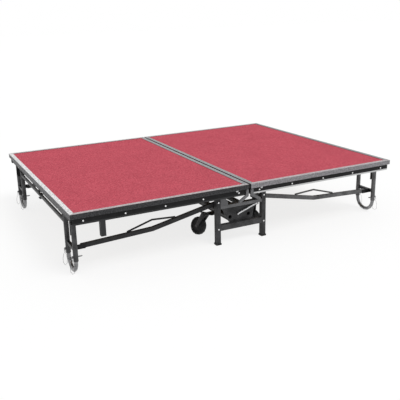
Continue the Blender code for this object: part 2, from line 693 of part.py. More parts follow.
def make_deck_frame(deck, side):
    """The welded steel frame under one half: rails, joists, leg hangers and a guard rail socket."""
    rails = bmesh.new()
    welded = bmesh.new()
    holes = bmesh.new()
    for flank in (NEAR, FAR):
        inner, outer = sorted((flank * RAIL_INNER_Y, flank * RAIL_OUTER_Y))
        add_square_tube(rails, "X", side * RAIL_FOLD_X, side * RAIL_OUTER_X,
                        (inner, RAIL_BOTTOM), (outer, RAIL_TOP), RAIL_WALL)
        add_rod(holes, (side * DECK_PIVOT_X, flank * (RAIL_INNER_Y - RAIL_WIDTH), DECK_PIVOT_Z),
                (side * DECK_PIVOT_X, flank * (RAIL_OUTER_Y + RAIL_WIDTH), DECK_PIVOT_Z),
                PIVOT_BOLT_RADIUS + HOLE_CLEARANCE)
    fold_joist = RAIL_FOLD_X + FOLD_JOIST_CLEARANCE
    joists = [(fold_joist, fold_joist + JOIST_WIDTH, FOLD_JOIST_HEIGHT),
              (CENTER_LEG_X - JOIST_WIDTH / 2, CENTER_LEG_X + JOIST_WIDTH / 2, FOLD_JOIST_HEIGHT),
              (RAIL_INNER_X, RAIL_OUTER_X - SEAT, END_RAIL_HEIGHT)]
    for station in MAIN_JOIST_STATIONS:
        joists.append((station - JOIST_WIDTH / 2, station + JOIST_WIDTH / 2, MAIN_JOIST_HEIGHT))
    for x0, x1, height in joists:
        add_channel(welded, side, (x0, RAIL_TOP - height), (x1, RAIL_TOP - SEAT),
                    RAIL_INNER_Y + WELD_DEPTH, JOIST_WALL)
    add_screw_heads(welded, side)
    add_hangers(welded, holes, side)
    half = SOCKET_SIDE / 2 - SEAT
    x, y = side * SOCKET_X, side * (RAIL_OUTER_Y - SOCKET_SIDE / 2)
    add_square_tube(welded, "Z", RAIL_BOTTOM - SOCKET_LENGTH, RAIL_BOTTOM + WELD_DEPTH,
                    (x - half, y - half), (x + half, y + half), SOCKET_WALL)
    frame = deck.add(SIDE_NAMES[side] + "_deck_frame", rails, black_steel)
    deck.weld(frame, welded)
    deck.cut(frame, holes)


def make_fold_hardware(deck, side):
    """The curved arms beside the fold and the bolts on which the half turns."""
    name = SIDE_NAMES[side]
    outline = bent_bar([FOLD_ARM_TOP, FOLD_ARM_KNEE, FOLD_ARM_END], FOLD_ARM_HALF_WIDTH)
    inner = RAIL_OUTER_Y + SEAT
    outer = inner + FOLD_ARM_THICKNESS
    arm_inner = RAIL_INNER_Y - PIVOT_ARM_GAP_TO_RAIL - PIVOT_ARM_THICKNESS
    for flank in (NEAR, FAR):
        place = "%s_%s_" % (name, FLANK_NAMES[flank])
        bar = bmesh.new()
        add_plate(bar, outline, side, flank * inner, flank * outer)
        arm = deck.add(place + "fold_arm", bar, grey_steel, smooth=True)
        heads = bmesh.new()
        for x, z in (FOLD_ARM_TOP, FOLD_ARM_END):
            add_rod(heads, (side * x, flank * (outer - WELD_DEPTH), z),
                    (side * x, flank * (outer + SCREW_HEAD_HEIGHT), z), FOLD_ARM_BOLT_RADIUS, 12)
        deck.weld(arm, heads)
        bolt = bmesh.new()
        add_turned(bolt, "Y", [((side * DECK_PIVOT_X, flank * y, DECK_PIVOT_Z), radius) for y, radius in (
            (arm_inner - SEAT, PIVOT_BOLT_RADIUS), (inner, PIVOT_BOLT_RADIUS),
            (inner, BOLT_HEAD_RADIUS), (inner + BOLT_HEAD_HEIGHT, BOLT_HEAD_RADIUS))])
        deck.add(place + "pivot_bolt", bolt, zinc, smooth=True)


# Legs

def make_leg_frame(legs, side):
    """The welded end frame: two pairs of tubes, tie bars, link lugs, shaft and cross tube."""
    x = side * LEG_X
    inside = LEG_RADIUS - LEG_WALL / 2
    inner_reach = LEG_INNER_Y - inside
    tubes = bmesh.new()
    welded = bmesh.new()
    holes = bmesh.new()
    lug_inner = LINK_OUTER_Y + SEAT
    half = TIE_BAR_SIDE / 2
    spans = [(LEG_INNER_Y + inside, LEG_OUTER_Y - inside),
             (LEG_OUTER_Y + inside, LEG_OUTER_Y + LEG_RADIUS + SHAFT_HEAD)]
    for flank in (NEAR, FAR):
        for y in (LEG_OUTER_Y, LEG_INNER_Y):
            add_round_tube(tubes, (x, flank * y, LEG_BOTTOM), (x, flank * y, LEG_TOP), LEG_RADIUS, LEG_WALL)
            add_rod(holes, (x - 2 * LEG_RADIUS, flank * y, PIN_Z), (x + 2 * LEG_RADIUS, flank * y, PIN_Z),
                    (PIN_RADIUS + HOLE_CLEARANCE) / math.cos(math.pi / PIN_SIDES), PIN_SIDES)
        add_box(welded, (x - half, flank * spans[0][0], LINK_END_Z - half),
                (x + half, flank * spans[0][1], LINK_END_Z + half))
        add_box(welded, (side * (LINK_END_X - LUG_PAST_BOLT), flank * lug_inner, LINK_END_Z - LUG_HEIGHT / 2),
                (side * LEG_X, flank * (lug_inner + LUG_THICKNESS), LINK_END_Z + LUG_HEIGHT / 2))
        for start, end in spans:
            add_rod(welded, (x, flank * start, LEG_PIVOT_Z), (x, flank * end, LEG_PIVOT_Z), SHAFT_RADIUS)
    add_rod(welded, (x, -inner_reach, LEG_PIVOT_Z), (x, inner_reach, LEG_PIVOT_Z), SHAFT_RADIUS)
    add_round_tube(welded, (x, -inner_reach, CROSS_TUBE_Z), (x, inner_reach, CROSS_TUBE_Z),
                   CROSS_TUBE_RADIUS, CROSS_TUBE_WALL, ROD_SIDES)
    add_vent(holes, x, LEG_INNER_Y / 2, CROSS_TUBE_Z - CROSS_TUBE_RADIUS)
    clamp = CROSS_CLAMP_SIDE / 2
    for low, high in ((-clamp, -CROSS_TUBE_RADIUS + WELD_DEPTH), (CROSS_TUBE_RADIUS - WELD_DEPTH, clamp)):
        add_box(welded, (x - clamp, -CROSS_CLAMP_LENGTH / 2, CROSS_TUBE_Z + low),
                (x + clamp, CROSS_CLAMP_LENGTH / 2, CROSS_TUBE_Z + high))
    frame = legs.add(SIDE_NAMES[side] + "_leg_frame", tubes, black_steel, smooth=True)
    legs.weld(frame, welded)
    legs.cut(frame, holes)


def make_extension(body, side, flank):
    """A bent tube that slides in one pair of leg tubes, slotted for the detent pins."""
    x = side * LEG_X
    path = [(x, flank * LEG_OUTER_Y, EXTENSION_TOP)]
    for i in range(EXTENSION_BENDS + 1):
        angle = math.pi * i / EXTENSION_BENDS
        path.append((x, flank * (BEND_Y + BEND_RADIUS * math.cos(angle)),
                     BEND_Z - BEND_RADIUS * math.sin(angle)))
    path.append((x, flank * LEG_INNER_Y, EXTENSION_TOP))
    bm = bmesh.new()
    outside = sweep_rings(path, (1, 0, 0), EXTENSION_RADIUS, EXTENSION_SIDES)
    inside = sweep_rings(path, (1, 0, 0), EXTENSION_RADIUS - EXTENSION_WALL, EXTENSION_SIDES)
    skin(bm, outside + inside[::-1], closed=True)
    name = "%s_%s_extension" % (SIDE_NAMES[side], FLANK_NAMES[flank])
    bar = body.add(name, bm, zinc, smooth=True)
    slots = bmesh.new()
    slot_top = PIN_Z + EXTENSION_TRAVEL + SLOT_WIDTH / 2
    for y in (LEG_OUTER_Y, LEG_INNER_Y):
        add_box(slots, (x - 2 * LEG_RADIUS, flank * y - SLOT_WIDTH / 2, PIN_Z - SLOT_WIDTH / 2),
                (x + 2 * LEG_RADIUS, flank * y + SLOT_WIDTH / 2, slot_top))
    body.cut(bar, slots)


def wire_loop(center, length, width, side):
    """Points of a long loop of wire that hangs down, turned and leaning out from the leg."""
    points = []
    along, aside = -math.sin(LOOP_TURN), math.cos(LOOP_TURN)
    count = 8
    for i in range(count):
        angle = 2 * math.pi * i / count
        drop = length / 2 * (1 - math.cos(angle))
        spread = width / 2 * math.sin(angle) * (0.55 + 0.45 * drop / length)
        points.append((center[0] + side * LOOP_LEAN * drop + along * spread,
                       center[1] + aside * spread, center[2] - drop))
    return points


def make_pin(body, name, side, y):
    """A detent pin with its split ring and wire loop."""
    tip = LEG_X - PIN_TIP_REACH
    shoulder = LEG_X + LEG_RADIUS + SEAT
    head = shoulder + PIN_HEAD_LENGTH
    shape = bmesh.new()
    profile = [(tip, PIN_RADIUS * 0.6), (tip + PIN_RADIUS, PIN_RADIUS), (shoulder, PIN_RADIUS),
               (shoulder, PIN_HEAD_RADIUS), (head, PIN_HEAD_RADIUS * 0.8)]
    add_turned(shape, "X", [((side * px, y, PIN_Z), radius) for px, radius in profile], PIN_SIDES)
    wires = bmesh.new()
    ring_x = side * (head - 2 * RING_WIRE)
    ring_z = PIN_Z - RING_RADIUS
    ring = [(ring_x, y + RING_RADIUS * math.sin(math.pi * i / 4),
             ring_z + RING_RADIUS * math.cos(math.pi * i / 4)) for i in range(8)]
    add_sweep(wires, ring, (1, 0, 0), RING_WIRE, WIRE_SIDES, closed=True)
    loop = wire_loop((ring_x, y, ring_z - RING_RADIUS), LOOP_LENGTH, LOOP_WIDTH, side)
    across = Vector((math.cos(LOOP_TURN), math.sin(LOOP_TURN), LOOP_LEAN * side * math.cos(LOOP_TURN)))
    add_sweep(wires, loop, across.normalized(), LOOP_WIRE, WIRE_SIDES, closed=True)
    pin = body.add(name, shape, zinc, smooth=True)
    body.weld(pin, wires)


# Fold links

def make_link(links, side, flank):
    """A bent hollow bar with a truss rod on top and a bolt at each end."""
    half = LINK_HEIGHT / 2
    pivot, kink, end = [Vector(p) for p in (
        (LINK_PIVOT_X, LINK_PIVOT_Z), (LINK_KINK_X, LINK_KINK_Z), (LINK_END_X, LINK_END_Z))]
    inner_run, outer_run = (kink - pivot).normalized(), (end - kink).normalized()
    stations = [(pivot - inner_run * LINK_PAST_PIVOT, inner_run),
                (kink, (inner_run + outer_run).normalized()),
                (end + outer_run * LINK_PAST_PIVOT, outer_run)]
    middle = (LINK_INNER_Y + LINK_OUTER_Y) / 2
    rings = []
    for inset in (0, LINK_WALL):
        loops = []
        for at, run in stations:
            across = Vector((-run.y, run.x)) * (half - inset)
            reach = LINK_WIDTH / 2 - inset
            loops.append([Vector((side * (at.x + turn * across.x), flank * (middle + sway * reach),
                                  at.y + turn * across.y))
                          for turn, sway in ((-1, -1), (1, -1), (1, 1), (-1, 1))])
        rings += loops if inset == 0 else loops[::-1]
    bar = bmesh.new()
    skin(bar, rings, closed=True)
    seat = half + TRUSS_RADIUS - WELD_DEPTH
    start_rise = inner_run.y / inner_run.x * (TRUSS_START_X - LINK_PIVOT_X)
    end_rise = outer_run.y / outer_run.x * (TRUSS_END_X - LINK_KINK_X)
    truss = ((TRUSS_START_X, LINK_PIVOT_Z + start_rise + seat), TRUSS_PEAK,
             (TRUSS_END_X, LINK_KINK_Z + end_rise + seat))
    welded = bmesh.new()
    add_sweep(welded, [(side * x, flank * middle, z) for x, z in truss], (0, 1, 0), TRUSS_RADIUS, 8)
    face = LINK_INNER_Y + WELD_DEPTH
    for x, z, outer_end in ((LINK_PIVOT_X, LINK_PIVOT_Z, PLATE_OUTER_Y - WELD_DEPTH),
                            (LINK_END_X, LINK_END_Z, LINK_OUTER_Y - WELD_DEPTH)):
        add_turned(welded, "Y", [((side * x, flank * y, z), radius) for y, radius in (
            (LINK_INNER_Y - BOLT_HEAD_HEIGHT, BOLT_HEAD_RADIUS), (face, BOLT_HEAD_RADIUS),
            (face, LINK_BOLT_RADIUS), (outer_end, LINK_BOLT_RADIUS))])
    link = links.add("%s_%s_link" % (SIDE_NAMES[side], FLANK_NAMES[flank]), bar, black_steel, smooth=True)
    links.weld(link, welded)


# Casters

def caster_matrix(side, flank, turned=True):
    """Placement of a caster: its own Z is the swivel axis and its origin the top plate's underside."""
    place = Matrix.Translation((side * CASTER_X, flank * CASTER_Y, CASTER_Z))
    place = place @ Matrix.Rotation(-side * CASTER_TILT, 4, "Y")
    if turned:
        swivel = CASTER_SWIVEL if flank == NEAR else math.pi - CASTER_SWIVEL
        place = place @ Matrix.Rotation(swivel, 4, "Z")
    return place


def make_carriage(body, side):
    """A tube across the frame with an arm and a top plate for each caster."""
    x, z = side * CARRIAGE_PIVOT_X, CARRIAGE_PIVOT_Z
    tube = bmesh.new()
    add_round_tube(tube, (x, -PLATE_OUTER_Y, z), (x, PLATE_OUTER_Y, z), CARRIAGE_TUBE_RADIUS,
                   CARRIAGE_TUBE_WALL, 16)
    pivot = caster_matrix(side, NEAR, False).inverted() @ Vector((x, -CASTER_Y, z))
    half_plate = CASTER_PLATE_SIDE / 2
    reach = abs(pivot.x) - CARRIAGE_TUBE_RADIUS + CARRIAGE_TUBE_WALL / 2
    half = CARRIAGE_ARM_THICKNESS / 2
    outline = [(-half_plate, 0), (half_plate, 0), (reach, pivot.z - half), (reach, pivot.z + half),
               (half_plate * 0.6, CASTER_PLATE_THICKNESS), (-half_plate, CASTER_PLATE_THICKNESS)]
    arms = bmesh.new()
    for flank in (NEAR, FAR):
        place = caster_matrix(side, flank, False)
        half = CARRIAGE_ARM_WIDTH / 2
        skin(arms, [[place @ Vector((-side * px, y, pz)) for px, pz in outline] for y in (-half, half)])
    carriage = body.add(SIDE_NAMES[side] + "_caster_carriage", tube, black_steel, smooth=True)
    body.weld(carriage, arms)


def make_fork(body, side, flank):
    """A swivel fork with its bearing disc and axle."""
    place = caster_matrix(side, flank)
    inner = WHEEL_WIDTH / 2 + FORK_SIDE_GAP
    outer = inner + FORK_PLATE
    crown_top = -FORK_PLATE - SEAT
    crown_bottom = crown_top - FORK_PLATE
    foot = -CASTER_HEIGHT - AXLE_RADIUS * 2
    outline = [(-outer, foot), (-inner, foot), (-inner, crown_bottom), (inner, crown_bottom),
               (inner, foot), (outer, foot), (outer, crown_top), (-outer, crown_top)]
    rings = []
    for end in (-1, 1):
        ring = []
        for px, pz in outline:
            trail = CASTER_TRAIL * pz / -CASTER_HEIGHT
            width = FORK_DEPTH / 2 * (1.0 if pz > -CASTER_HEIGHT else 0.6)
            ring.append(place @ Vector((px, trail + end * width, pz)))
        rings.append(ring)
    shape = bmesh.new()
    skin(shape, rings)
    welded = bmesh.new()
    add_rod(welded, place @ Vector((0, 0, crown_top - WELD_DEPTH)), place @ Vector((0, 0, -SEAT)),
            WHEEL_HUB_RADIUS, 14)
    reach = outer + AXLE_RADIUS / 2
    add_rod(welded, place @ Vector((-reach, CASTER_TRAIL, -CASTER_HEIGHT)),
            place @ Vector((reach, CASTER_TRAIL, -CASTER_HEIGHT)), AXLE_RADIUS, 12)
    fork = body.add("%s_%s_caster_fork" % (SIDE_NAMES[side], FLANK_NAMES[flank]), shape, zinc, smooth=True)
    body.weld(fork, welded)


def make_wheel(body, side, flank):
    """A rubber-tyred wheel, turned about its axle."""
    bore = AXLE_RADIUS + HOLE_CLEARANCE
    half = WHEEL_WIDTH / 2
    web = half * 0.45
    profile = [(bore, -half), (WHEEL_HUB_RADIUS, -half), (WHEEL_HUB_RADIUS + 0.002, -web),
               (WHEEL_RIM_RADIUS, -web), (WHEEL_RIM_RADIUS + 0.003, -half * 0.9),
               (WHEEL_RADIUS - 0.005, -half * 0.85), (WHEEL_RADIUS, -half * 0.5), (WHEEL_RADIUS, half * 0.5),
               (WHEEL_RADIUS - 0.005, half * 0.85), (WHEEL_RIM_RADIUS + 0.003, half * 0.9),
               (WHEEL_RIM_RADIUS, web), (WHEEL_HUB_RADIUS + 0.002, web), (WHEEL_HUB_RADIUS, half),
               (bore, half)]
    rings = []
    for i in range(ROUND_SIDES):
        angle = 2 * math.pi * i / ROUND_SIDES
        rings.append([Vector((px, CASTER_TRAIL + radius * math.cos(angle),
                              -CASTER_HEIGHT + radius * math.sin(angle))) for radius, px in profile])
    bm = bmesh.new()
    skin(bm, rings, closed=True)
    bmesh.ops.transform(bm, matrix=caster_matrix(side, flank), verts=bm.verts)
    body.add("%s_%s_caster_wheel" % (SIDE_NAMES[side], FLANK_NAMES[flank]), bm, tyre_rubber, smooth=True)


# Assembly

def build_center():
    center = Body("center", (0, 0, 0))
    make_center_frame(center)
    for flank in (NEAR, FAR):
        make_upper_crossbar(center, flank)
        make_brace_rod(center, flank)
        for side in (LEFT, RIGHT):
            make_foot(center, side, flank)
    return center


def build_deck(center, side):
    deck = Body(SIDE_NAMES[side] + "_deck", (side * DECK_PIVOT_X, 0, DECK_PIVOT_Z), center)
    make_trims(deck, side)
    make_layers(deck, side)
    make_deck_frame(deck, side)
    make_fold_hardware(deck, side)
    return deck


def build_legs(deck, side):
    name = SIDE_NAMES[side]
    legs = Body(name + "_legs", (side * LEG_X, 0, LEG_PIVOT_Z), deck)
    make_leg_frame(legs, side)
    for flank in (NEAR, FAR):
        place = name + "_" + FLANK_NAMES[flank]
        make_extension(Body(place + "_extension", (side * LEG_X, flank * BEND_Y, BEND_Z), legs), side, flank)
        for which, y in (("outer", LEG_OUTER_Y), ("inner", LEG_INNER_Y)):
            pin = "%s_%s_pin" % (place, which)
            make_pin(Body(pin, (side * LEG_X, flank * y, PIN_Z), legs), pin, side, flank * y)


def build_links(center, side):
    links = Body(SIDE_NAMES[side] + "_links", (side * LINK_PIVOT_X, 0, LINK_PIVOT_Z), center)
    for flank in (NEAR, FAR):
        make_link(links, side, flank)


def build_carriage(center, side):
    name = SIDE_NAMES[side]
    carriage = Body(name + "_carriage", (side * CARRIAGE_PIVOT_X, 0, CARRIAGE_PIVOT_Z), center)
    make_carriage(carriage, side)
    for flank in (NEAR, FAR):
        place = "%s_%s_caster" % (name, FLANK_NAMES[flank])
        top = caster_matrix(side, flank) @ Vector((0, 0, 0))
        axle = caster_matrix(side, flank) @ Vector((0, CASTER_TRAIL, -CASTER_HEIGHT))
        swivel = Body(place + "_swivel", top, carriage)
        make_fork(swivel, side, flank)
        make_wheel(Body(place + "_wheel", axle, swivel), side, flank)


center_body = build_center()
for stage_side in (LEFT, RIGHT):
    deck_body = build_deck(center_body, stage_side)
    build_legs(deck_body, stage_side)
    build_links(center_body, stage_side)
    build_carriage(center_body, stage_side)
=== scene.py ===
"""Folding mobile stage, dressed for a studio photograph.

Everything is in metres in the frame of the CAD model: X along the deck, Z up, the near side at -Y.
"""
import json
import math

import bmesh
import bpy
from mathutils import Matrix, Vector


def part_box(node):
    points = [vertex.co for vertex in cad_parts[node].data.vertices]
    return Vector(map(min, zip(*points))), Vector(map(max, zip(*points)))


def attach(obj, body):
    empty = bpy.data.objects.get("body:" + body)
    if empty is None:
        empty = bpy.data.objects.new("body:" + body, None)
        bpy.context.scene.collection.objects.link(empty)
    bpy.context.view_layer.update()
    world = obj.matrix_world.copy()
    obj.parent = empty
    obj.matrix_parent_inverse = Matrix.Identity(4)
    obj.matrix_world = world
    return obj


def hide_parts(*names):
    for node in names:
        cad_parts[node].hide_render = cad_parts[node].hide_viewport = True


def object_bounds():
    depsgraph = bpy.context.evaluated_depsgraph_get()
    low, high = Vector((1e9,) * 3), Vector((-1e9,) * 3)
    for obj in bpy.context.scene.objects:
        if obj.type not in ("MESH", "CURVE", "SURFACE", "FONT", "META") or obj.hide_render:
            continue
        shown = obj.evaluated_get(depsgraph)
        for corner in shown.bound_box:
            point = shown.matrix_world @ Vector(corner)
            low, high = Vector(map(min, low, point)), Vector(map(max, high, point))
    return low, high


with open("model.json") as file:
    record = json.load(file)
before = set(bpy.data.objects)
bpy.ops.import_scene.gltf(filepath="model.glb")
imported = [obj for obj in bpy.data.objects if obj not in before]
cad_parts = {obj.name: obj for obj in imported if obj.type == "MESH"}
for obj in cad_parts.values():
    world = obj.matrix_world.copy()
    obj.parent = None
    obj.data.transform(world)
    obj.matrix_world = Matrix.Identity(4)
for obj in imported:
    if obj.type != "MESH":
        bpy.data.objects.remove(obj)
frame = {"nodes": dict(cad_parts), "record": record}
cad_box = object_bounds()

# Camera, set at the photograph's viewing angle
CAMERA_PLACE = (-2.055, -4.171, 1.553)
CAMERA_AZIMUTH = math.radians(25.74)
CAMERA_ELEVATION = math.radians(16.50)
CAMERA_ROLL = math.radians(-1.65)
CAMERA_LENS = 54.48
CAMERA_SHIFT = (0.04, -0.03)
CAMERA_REACH = 60.0
SENSOR_WIDTH = 36.0

# Light on the object
SKY_LIGHT = 0.62
KEY_LIGHT = 1.25
KEY_ANGLE = math.radians(30)
KEY_DIRECTION = (-0.30, 0.65, -1.0)

# Background: these rays see the sky and the floor white, the others see them at a plain level
WHITE_RAYS = ("Is Camera Ray", "Is Glossy Ray", "Is Transmission Ray")
FLOOR_REACH = 40.0
FLOOR_COLOR = (0.80, 0.80, 0.80)
FLOOR_GREY = 0.22
FLOOR_WHITE = 1.02

# Places on the CAD parts where a material changes: distances from the middle in X and Y, heights
# in Z, the wheels' radius, and a margin that tells a screw head or flange from the face behind it
FACE_MARGIN = 0.0004
RAIL_FACE_Y = 0.9025
RAIL_FACE_X = 1.207
# Top of a painted highlight band along the bottom of the rails' outer faces
RAIL_LIP_HIGHLIGHT_TOP = 0.3695
FRAME_FACE_Y = 0.806
FRAME_SCREW_TOP = 0.330
TIE_BAR_Y = (0.657, 0.788)
TIE_BAR_Z = (0.150, 0.192)
FLANGE_TOP = cad_box[1][2]
WHEEL_RADIUS = 0.0635

# Carpet sheet: size of its faces, how far its top sinks as a share of its thickness, and how much
# that varies as a share of the sink, in waves with these radians per metre and starts in X and Y
CARPET_PATCH = 0.024
PILE_SINK = 0.12
PILE_SWELL = 0.25
SWELL_WAVES = (7.1, 5.3)
SWELL_STARTS = (1.3, 0.7)
SMOOTH_ANGLE = math.radians(35)

# Radians that Blender's wave texture turns through in a metre at scale 1
WAVE_RADIANS = 20.0

SCREW_PLATE = (0.80, 0.80, 0.80)
TIE_BAR_BLACK = (0.010, 0.010, 0.011)

SIDES = ("left", "right")


class Shader:
    """A node material built up step by step."""

    def __init__(self, name):
        self.material = bpy.data.materials.new(name)
        self.material.use_nodes = True
        self.nodes = self.material.node_tree.nodes
        self.links = self.material.node_tree.links
        self.shader = self.nodes["Principled BSDF"]
        self.place = self.nodes.new("ShaderNodeTexCoord").outputs["Object"]

    def set(self, **values):
        """Set sockets of the Principled shader, named with _ for a space."""
        for name, value in values.items():
            socket = name.replace("_", " ").title().replace("Ior", "IOR")
            self.shader.inputs[socket].default_value = value

    def stretched(self, scale):
        """Object coordinates scaled by a different amount along each axis."""
        mapping = self.nodes.new("ShaderNodeMapping")
        mapping.inputs["Scale"].default_value = scale
        self.links.new(self.place, mapping.inputs["Vector"])
        return mapping.outputs["Vector"]

    def noise(self, scale, detail=3.0, roughness=0.5, stretch=None):
        """Cloudy noise from 0 to 1."""
        node = self.nodes.new("ShaderNodeTexNoise")
        node.inputs["Scale"].default_value = scale
        node.inputs["Detail"].default_value = detail
        node.inputs["Roughness"].default_value = roughness
        self.links.new(self.stretched(stretch) if stretch else self.place, node.inputs["Vector"])
        return node.outputs["Fac"]

    def ribs(self, axis, per_metre):
        """Soft stripes that repeat along one axis."""
        node = self.nodes.new("ShaderNodeTexWave")
        node.wave_type = "BANDS"
        node.bands_direction = axis
        node.wave_profile = "SIN"
        node.inputs["Scale"].default_value = per_metre * 2 * math.pi / WAVE_RADIANS
        self.links.new(self.place, node.inputs["Vector"])
        return node.outputs["Fac"]

    def ramp(self, source, stops):
        """Colours at positions along a value from 0 to 1."""
        node = self.nodes.new("ShaderNodeValToRGB")
        elements = node.color_ramp.elements
        while len(elements) < len(stops):
            elements.new(0.5)
        for element, (at, color) in zip(elements, stops):
            element.position = at
            element.color = (*color, 1.0)
        self.links.new(source, node.inputs["Fac"])
        return node.outputs["Color"]

    def mix(self, first, second, factor, blend="MIX"):
        """Mix two colours; factor is a number or a socket."""
        node = self.nodes.new("ShaderNodeMix")
        node.data_type = "RGBA"
        node.blend_type = blend
        for name, value in (("A", first), ("B", second)):
            socket = [s for s in node.inputs if s.name == name and s.type == "RGBA"][0]
            if isinstance(value, tuple):
                socket.default_value = (*value, 1.0)
            else:
                self.links.new(value, socket)
        if isinstance(factor, (int, float)):
            node.inputs[0].default_value = factor
        else:
            self.links.new(factor, node.inputs[0])
        return [s for s in node.outputs if s.type == "RGBA"][0]

    def product(self, first, *others):
        """Multiply colours."""
        for other in others:
            first = self.mix(first, other, 1.0, "MULTIPLY")
        return first

    def math(self, operation, first, second=None):
        """A sum on one or two values; each is a number or a socket."""
        node = self.nodes.new("ShaderNodeMath")
        node.operation = operation
        for socket, value in zip(node.inputs, (first, second)):
            if value is None:
                continue
            if isinstance(value, (int, float)):
                socket.default_value = value
            else:
                self.links.new(value, socket)
        return node.outputs[0]

    def vector(self, operation, source, fixed=(0.0, 0.0, 0.0)):
        """A sum on a vector socket and a fixed vector."""
        node = self.nodes.new("ShaderNodeVectorMath")
        node.operation = operation
        node.inputs[1].default_value = fixed
        self.links.new(source, node.inputs[0])
        return node.outputs["Value" if operation == "LENGTH" else "Vector"]

    def beyond(self, axis, limit):
        """1 where the object coordinate along an axis is past a distance from the middle."""
        split = self.nodes.new("ShaderNodeSeparateXYZ")
        self.links.new(self.place, split.inputs[0])
        return self.math("GREATER_THAN", self.math("ABSOLUTE", split.outputs[axis]), limit)

    def between(self, axis, low, high):
        """1 where the distance from the middle along an axis lies between two limits."""
        return self.math("SUBTRACT", self.beyond(axis, low), self.beyond(axis, high))

    def below(self, height):
        """1 up to a height above the floor."""
        return self.math("SUBTRACT", 1.0, self.beyond("Z", height))

    def span(self, source, low, high):
        """Map a value from 0 to 1 onto another range."""
        node = self.nodes.new("ShaderNodeMapRange")
        node.inputs["To Min"].default_value = low
        node.inputs["To Max"].default_value = high
        self.links.new(source, node.inputs["Value"])
        return node.outputs["Result"]

    def color(self, source):
        """Colour the surface from a socket."""
        self.links.new(source, self.shader.inputs["Base Color"])

    def roughness(self, source, low, high):
        """Let the roughness follow a socket between two limits."""
        self.links.new(self.span(source, low, high), self.shader.inputs["Roughness"])

    def bump(self, source, distance, strength):
        """Add a height in metres to the surface."""
        node = self.nodes.new("ShaderNodeBump")
        node.inputs["Strength"].default_value = strength
        node.inputs["Distance"].default_value = distance
        self.links.new(source, node.inputs["Height"])
        earlier = self.shader.inputs["Normal"]
        if earlier.is_linked:
            self.links.new(earlier.links[0].from_socket, node.inputs["Normal"])
        self.links.new(node.outputs["Normal"], earlier)

    def cloudy_paint(self, dark, light, rough):
        """Give the surface powder coat's slight orange peel, and return its dusty colour."""
        self.roughness(self.noise(60, 3.0), *rough)
        self.bump(self.noise(900, 2.0), 0.00012, 0.6)
        return self.ramp(self.noise(14, 5.0, 0.65), [(0.35, dark), (0.70, light)])


def carpet_material():
    """Red needle felt: fine speckle, coarser tufts and a little wear."""
    made = Shader("carpet_red")
    made.set(roughness=1.0, specular_ior_level=0.0)
    speckle = made.ramp(made.noise(650, 2.0, 0.7), [
        (0.30, (0.38, 0.034, 0.060)), (0.50, (0.61, 0.106, 0.142)), (0.72, (0.78, 0.22, 0.26))])
    tufts = made.ramp(made.noise(110, 2.0, 0.6), [
        (0.32, (0.72, 0.66, 0.68)), (0.68, (1.16, 1.20, 1.18))])
    wear = made.ramp(made.noise(5, 3.0, 0.6), [(0.3, (0.95,) * 3), (0.7, (1.04,) * 3)])
    made.color(made.product(speckle, tufts, wear))
    made.bump(made.noise(420, 3.0, 0.7), 0.0015, 0.8)
    return made.material


def trim_material(name, across, face_painted_light, flange_painted_light):
    """Aluminium edging with a flange on top and a ribbed side face; across is X or Y. Its face and
    flange colours are painted light and shade.
    """
    made = Shader(name)
    made.set(metallic=0.9)
    along = (2, 90, 90) if across == "Y" else (90, 2, 90)
    streaks = made.noise(12, 4.0, 0.6, along)
    # painted light: on one and the same aluminium, the flange top takes the flange colour and the
    # side face the face colour, lighter and darker by how light falls on each
    flange_top_painted_light = made.beyond("Z", FLANGE_TOP - FACE_MARGIN)
    wear = made.ramp(streaks, [(0.25, (0.82,) * 3), (0.75, (1.0,) * 3)])
    knurl = made.ramp(made.noise(130, 1.0, 0.5), [(0.42, (0.62,) * 3), (0.58, (1.12,) * 3)])
    made.color(made.product(made.mix(face_painted_light, flange_painted_light, flange_top_painted_light), wear, knurl))
    made.roughness(streaks, 0.34, 0.52)
    made.bump(made.ribs(across, 280), 0.0004, 0.35)
    made.bump(made.ribs("Z", 420), 0.0004, 0.5)
    return made.material


def paint_material(name, dark, light, rough=(0.38, 0.55), metallic=0.0):
    """Powder coat of one shade."""
    made = Shader(name)
    made.set(metallic=metallic, specular_ior_level=0.25)
    made.color(made.cloudy_paint(dark, light, rough))
    return made.material


def leg_material(name, dark, light):
    """Worn paint on the leg tubes, darker on the tie bars between them."""
    made = Shader(name)
    made.set(metallic=0.25, specular_ior_level=0.25)
    paint = made.cloudy_paint(dark, light, (0.33, 0.50))
    bar = made.math("MULTIPLY", made.between("Y", *TIE_BAR_Y), made.between("Z", *TIE_BAR_Z))
    made.color(made.mix(paint, TIE_BAR_BLACK, bar))
    return made.material


def screwed_material(name, heads, dark, light, lip_highlight=None):
    """Black paint with bright plated screw heads, which stand proud of the painted faces.

    heads makes a socket that is 1 on the heads; the lip colour is a painted highlight along the
    bottom of a rail's outer face.
    """
    made = Shader(name)
    made.set(specular_ior_level=0.15)
    on_head = heads(made)
    paint = made.cloudy_paint(dark, light, (0.36, 0.52))
    # painted highlight: the lip colour covers the bottom of the rail's outer face
    if lip_highlight:
        on_face = made.beyond("Y", RAIL_FACE_Y - FACE_MARGIN)
        paint = made.mix(paint, lip_highlight, made.math("MULTIPLY", made.below(RAIL_LIP_HIGHLIGHT_TOP), on_face))
    made.color(made.mix(paint, SCREW_PLATE, on_head))
    made.links.new(on_head, made.shader.inputs["Metallic"])
    return made.material


def deck_heads(made):
    """1 on the screws in the outer faces of the deck's rails."""
    return made.math("MAXIMUM", made.beyond("Y", RAIL_FACE_Y + FACE_MARGIN),
                     made.beyond("X", RAIL_FACE_X + FACE_MARGIN))


def frame_heads(made):
    """1 on the screws in the centre legs, below their brackets."""
    return made.math("MULTIPLY", made.beyond("Y", FRAME_FACE_Y + FACE_MARGIN),
                     made.below(FRAME_SCREW_TOP))


